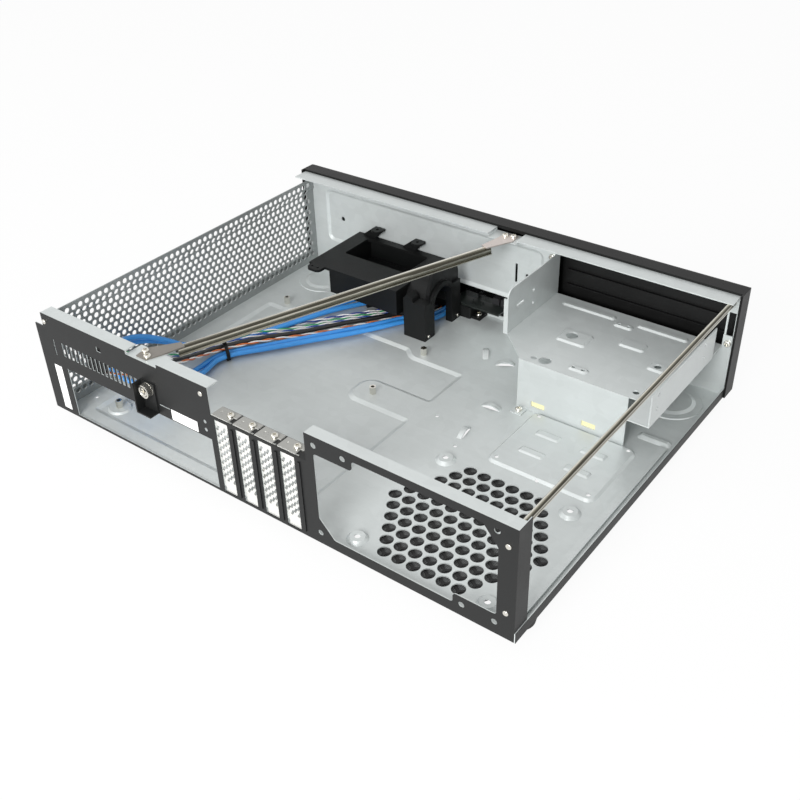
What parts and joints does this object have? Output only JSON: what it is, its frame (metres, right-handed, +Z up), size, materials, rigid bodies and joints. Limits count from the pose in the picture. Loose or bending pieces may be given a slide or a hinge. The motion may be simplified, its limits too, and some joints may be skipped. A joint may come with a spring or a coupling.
{
  "type": "desktop pc case",
  "caption": "Low, wide desktop computer chassis with its cover off: vented pan and side wall, rear panel with slot covers, drive tray, braces, moulded bracket, tied cables and a black bezel.",
  "frame": {"origin": "middle of the footprint at the level of the feet's soles, with the free cables left out", "axes": "+Z up, +Y out of the rear panel, so the bezel faces -Y; +X towards the vented side wall"},
  "size_m": [0.44, 0.346, 0.103],
  "materials": {
    "galvanised_steel": "zinc-coated sheet, satin",
    "black_painted_steel": "fine-textured black powder coat",
    "bright_steel": "bright plated sheet",
    "brace_steel": "nickel-tinted plated sheet",
    "screw_steel": "bright nickel plate",
    "black_plastic": "fine matt moulding",
    "bezel_plastic": "satin black moulding",
    "foot_rubber": "matt",
    "circuit_board": "solder mask",
    "socket_shell": "tinned shell",
    "socket_plastic": "moulded socket",
    "light_plastic": "clear moulding",
    "blue_jacket": "smooth cable jacket",
    "black_jacket": "smooth cable jacket",
    "lead_insulation": "twisted pair insulation",
    "yellow_foam": "foam pad",
    "blank_paper": "blank sticker stock"
  },
  "bodies": {
    "chassis": {"base_pan": "galvanised_steel", "bay_cover": "bezel_plastic", "brace_screws": "screw_steel", "bracket_screws": "screw_steel", "cable_tie": "black_plastic", "cover_rail": "galvanised_steel", "diagonal_brace": "brace_steel", "drive_light_lead": "lead_insulation", "drive_tray": "galvanised_steel", "front_bezel": "bezel_plastic", "front_end_plate": "brace_steel", "front_io_board": "circuit_board", "front_io_housing": "black_plastic", "front_io_screw": "screw_steel", "front_wall": "galvanised_steel", "lead_plugs": "black_plastic", "light_pipe_1": "light_plastic", "light_pipe_2": "light_plastic", "lock_bracket": "black_painted_steel", "lock_screw": "screw_steel", "moulded_bracket": "black_plastic", "panel_rivets": "screw_steel", "power_light_lead": "lead_insulation", "power_switch_lead": "lead_insulation", "rear_end_plate": "brace_steel", "rear_panel": "black_painted_steel", "rear_sticker": "blank_paper", "reset_switch_lead": "lead_insulation", "rubber_feet": "foot_rubber", "side_brace": "brace_steel", "side_sticker": "blank_paper", "slot_cover_1": "bright_steel", "slot_cover_2": "bright_steel", "slot_cover_3": "bright_steel", "slot_cover_4": "bright_steel", "slot_panel": "black_painted_steel", "slot_screws": "screw_steel", "sound_cable": "black_jacket", "sound_plug": "black_plastic", "sound_socket_1": "socket_plastic", "sound_socket_2": "socket_plastic", "standoffs": "screw_steel", "supply_folds": "black_painted_steel", "supply_panel": "black_painted_steel", "switch_board": "circuit_board", "switches": "black_plastic", "tray_pads": "yellow_foam", "tray_screws": "screw_steel", "usb_cable_1": "blue_jacket", "usb_cable_2": "blue_jacket", "usb_plug_1": "black_plastic", "usb_plug_2": "black_plastic", "usb_socket_1": "socket_shell", "usb_socket_2": "socket_shell", "vent_filter": "black_plastic", "vented_side_wall": "galvanised_steel"},
    "power_button": {"power_button": "bezel_plastic"},
    "reset_button": {"reset_button": "bezel_plastic"}
  },
  "joints": [
    {"name": "power_button_press", "type": "slide", "parent": "chassis", "child": "power_button", "axis": [0, 1, 0], "range_m": [0, 0.0015], "stiffness_N_per_m": 400, "springref_m": -0.001},
    {"name": "reset_button_press", "type": "slide", "parent": "chassis", "child": "reset_button", "axis": [0, 1, 0], "range_m": [0, 0.0015], "stiffness_N_per_m": 400, "springref_m": -0.001}
  ]
}
